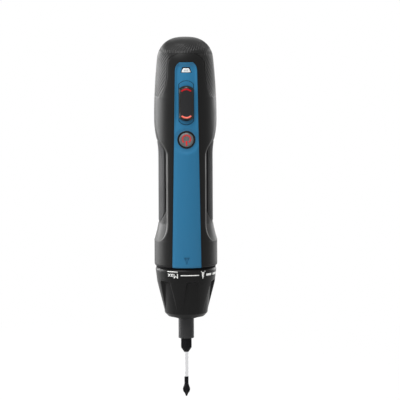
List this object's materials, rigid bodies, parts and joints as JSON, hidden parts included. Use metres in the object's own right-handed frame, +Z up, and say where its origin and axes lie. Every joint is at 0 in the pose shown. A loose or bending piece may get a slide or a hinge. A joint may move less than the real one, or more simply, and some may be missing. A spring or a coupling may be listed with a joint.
{
  "type": "electric screwdriver",
  "caption": "Slim in-line cordless screwdriver with a waisted round body, front control strip, torque ring, push-to-start spindle and removable cross-point bit.",
  "frame": {"origin": "on the tool's axis, in the plane where the housing's collar meets the torque ring", "axes": "+Z up the tool's axis to the dome, the bit points to -Z, the control strip faces -Y"},
  "size_m": [0.038, 0.0396, 0.2186],
  "materials": {
    "shell_black": "fine moulded grain",
    "dome_black": "fine raised diagonal lines",
    "grip_rubber": "small raised grip pattern",
    "strip_blue": "satin moulded",
    "window_white": "frosted light guide",
    "knob_grey": "matt moulded",
    "button_grey": "soft touch",
    "ring_black": "satin moulded",
    "nose_black": "satin moulded",
    "spindle_steel": "dark phosphated steel",
    "bit_steel": "bare shaft, blackened shank and point",
    "screw_steel": "zinc plated",
    "case_zinc": "die cast",
    "gear_steel": "sintered steel",
    "spring_steel": "spring steel",
    "bush_bronze": "sintered bronze",
    "contact_brass": "stamped",
    "magnet_dark": "sintered magnet",
    "core_steel": "stacked sheets",
    "winding_copper": "enamelled copper wire",
    "can_steel": "plated steel",
    "bell_plastic": "moulded",
    "lead_red": "insulated wire",
    "battery_wrap": "shrink wrapped cell",
    "board_green": "circuit board",
    "led_green": "clear",
    "port_steel": "stamped"
  },
  "bodies": {
    "housing": {"front_shell": "shell_black", "rear_shell": "shell_black", "dome_cap": "dome_black", "grip_sleeve": "grip_rubber", "fascia_strip": "strip_blue", "charge_window": "window_white", "nose_cap": "nose_black", "housing_screws": "screw_steel", "plate_screws": "screw_steel", "gear_case": "case_zinc", "motor_plate": "case_zinc", "ring_gear": "gear_steel", "thrust_washer": "gear_steel", "spring_seat": "gear_steel", "ring_clip": "spring_steel", "detent_plunger": "spring_steel", "spindle_bushes": "bush_bronze", "motor_bushes": "bush_bronze", "motor_terminals": "contact_brass", "battery_tabs": "contact_brass", "motor_magnets": "magnet_dark", "motor_brushes": "magnet_dark", "motor_can": "can_steel", "motor_end_bell": "bell_plastic", "battery_cradle": "bell_plastic", "direction_switch": "bell_plastic", "power_switch": "bell_plastic", "torque_sensor": "bell_plastic", "motor_leads": "lead_red", "battery_cell": "battery_wrap", "control_board": "board_green", "charge_board": "board_green", "charge_led": "led_green", "usb_socket": "port_steel"},
    "torque_ring": {"torque_ring": "ring_black", "ring_magnet": "magnet_dark"},
    "direction_knob": {"direction_knob": "knob_grey"},
    "power_button": {"power_button": "button_grey"},
    "push_carriage": {"thrust_collar": "gear_steel", "push_springs": "spring_steel"},
    "spindle": {"spindle": "spindle_steel", "bit_magnet": "magnet_dark", "spindle_clip": "spindle_steel"},
    "bit": {"screwdriver_bit": "bit_steel"},
    "output_carrier": {"output_carrier": "gear_steel", "output_pins": "gear_steel"},
    "input_carrier": {"input_carrier": "gear_steel", "input_pins": "gear_steel"},
    "rotor": {"rotor_shaft": "gear_steel", "rotor_core": "core_steel", "rotor_windings": "winding_copper", "commutator": "contact_brass", "motor_pinion": "gear_steel"},
    "output_planet_1": {"output_planet_1": "gear_steel"},
    "output_planet_2": {"output_planet_2": "gear_steel"},
    "output_planet_3": {"output_planet_3": "gear_steel"},
    "input_planet_1": {"input_planet_1": "gear_steel"},
    "input_planet_2": {"input_planet_2": "gear_steel"},
    "input_planet_3": {"input_planet_3": "gear_steel"}
  },
  "joints": [
    {"name": "torque_ring_turn", "type": "hinge", "parent": "housing", "child": "torque_ring", "pos_m": [0, 0, 0], "axis": [0, 0, 1], "range_deg": [-60, 210]},
    {"name": "direction_slide", "type": "slide", "parent": "housing", "child": "direction_knob", "axis": [0, 0, 1], "range_m": [-0.002, 0.002]},
    {"name": "power_press", "type": "slide", "parent": "housing", "child": "power_button", "axis": [0, 1, 0], "range_m": [0, 0.0008], "stiffness_N_per_m": 1500, "springref_m": -0.0003},
    {"name": "push_start", "type": "slide", "parent": "housing", "child": "push_carriage", "axis": [0, 0, 1], "range_m": [0, 0.0012], "stiffness_N_per_m": 3000, "springref_m": -0.001, "deforming": ["push_springs"]},
    {"name": "bit_pull", "type": "slide", "parent": "spindle", "child": "bit", "axis": [0, 0, -1], "range_m": [0, 0.022]},
    {"name": "rotor_spin", "type": "hinge", "parent": "housing", "child": "rotor", "pos_m": [0, 0, 0], "axis": [0, 0, 1], "continuous": true},
    {"name": "input_carrier_spin", "type": "hinge", "parent": "housing", "child": "input_carrier", "pos_m": [0, 0, 0], "axis": [0, 0, 1], "continuous": true},
    {"name": "output_carrier_spin", "type": "hinge", "parent": "housing", "child": "output_carrier", "pos_m": [0, 0, 0], "axis": [0, 0, 1], "continuous": true},
    {"name": "spindle_spin", "type": "hinge", "parent": "push_carriage", "child": "spindle", "pos_m": [0, 0, 0], "axis": [0, 0, 1], "continuous": true},
    {"name": "output_planet_1_spin", "type": "hinge", "parent": "output_carrier", "child": "output_planet_1", "pos_m": [0.00675, 0, 0], "axis": [0, 0, 1], "continuous": true},
    {"name": "output_planet_2_spin", "type": "hinge", "parent": "output_carrier", "child": "output_planet_2", "pos_m": [-0.00337, 0.00585, 0], "axis": [0, 0, 1], "continuous": true},
    {"name": "output_planet_3_spin", "type": "hinge", "parent": "output_carrier", "child": "output_planet_3", "pos_m": [-0.00337, -0.00585, 0], "axis": [0, 0, 1], "continuous": true},
    {"name": "input_planet_1_spin", "type": "hinge", "parent": "input_carrier", "child": "input_planet_1", "pos_m": [0.00675, 0, 0], "axis": [0, 0, 1], "continuous": true},
    {"name": "input_planet_2_spin", "type": "hinge", "parent": "input_carrier", "child": "input_planet_2", "pos_m": [-0.00337, 0.00585, 0], "axis": [0, 0, 1], "continuous": true},
    {"name": "input_planet_3_spin", "type": "hinge", "parent": "input_carrier", "child": "input_planet_3", "pos_m": [-0.00337, -0.00585, 0], "axis": [0, 0, 1], "continuous": true}
  ],
  "couplings": [
    {"joint": "input_carrier_spin", "follows": "rotor_spin", "ratio": 0.22222},
    {"joint": "output_carrier_spin", "follows": "rotor_spin", "ratio": 0.049383},
    {"joint": "spindle_spin", "follows": "rotor_spin", "ratio": 0.049383},
    {"joint": "output_planet_1_spin", "follows": "rotor_spin", "ratio": -0.13827},
    {"joint": "output_planet_2_spin", "follows": "rotor_spin", "ratio": -0.13827},
    {"joint": "output_planet_3_spin", "follows": "rotor_spin", "ratio": -0.13827},
    {"joint": "input_planet_1_spin", "follows": "rotor_spin", "ratio": -0.62222},
    {"joint": "input_planet_2_spin", "follows": "rotor_spin", "ratio": -0.62222},
    {"joint": "input_planet_3_spin", "follows": "rotor_spin", "ratio": -0.62222}
  ]
}
